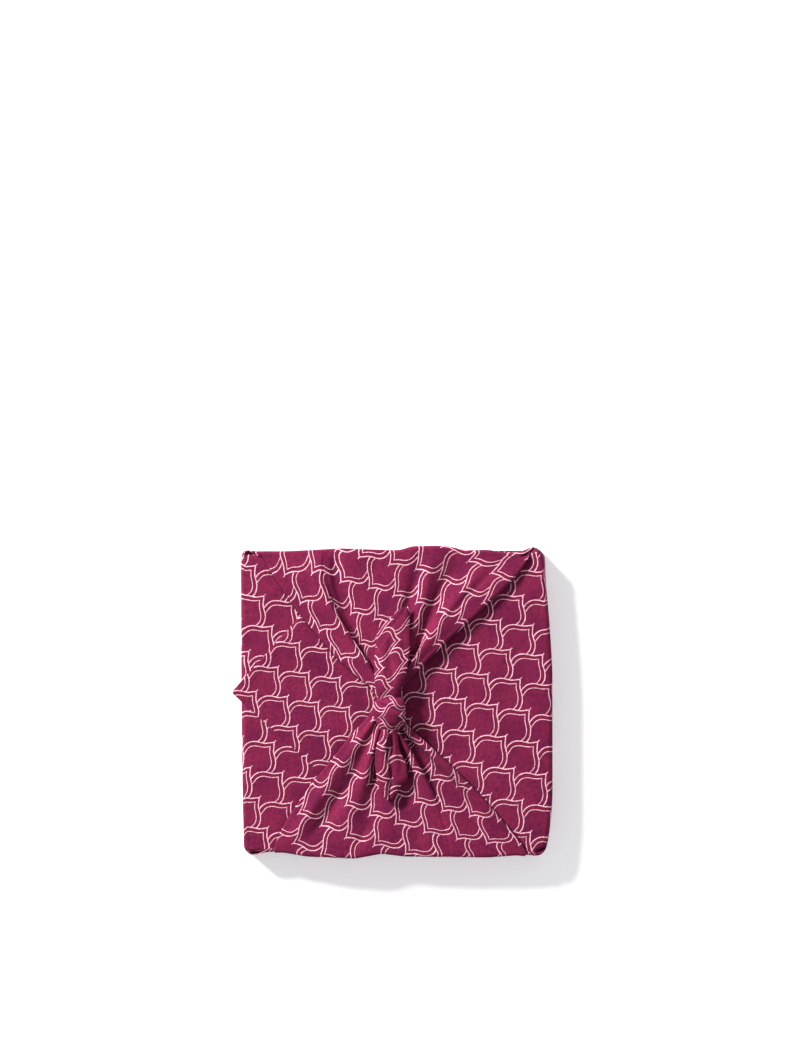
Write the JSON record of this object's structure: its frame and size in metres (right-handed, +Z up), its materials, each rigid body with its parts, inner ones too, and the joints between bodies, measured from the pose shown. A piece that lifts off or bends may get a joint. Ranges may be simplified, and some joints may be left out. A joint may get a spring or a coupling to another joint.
{
  "type": "furoshiki wrap",
  "caption": "Square cotton wrapping cloth folded flat round a low square box, its gathered corners tied on top in a square knot with free tails.",
  "frame": {"origin": "middle of the whole outline, in the plane of the flat underside", "axes": "+Z up out of the knotted side, +Y towards the north gathered flap, +X away from the edge where the covering corner pokes out"},
  "size_m": [0.3464, 0.341, 0.0606],
  "materials": {
    "plum_cotton": "matte woven cotton, plum with a pale pink line print"
  },
  "bodies": {
    "root": {"wrap_cloth": "plum_cotton"}
  },
  "joints": []
}
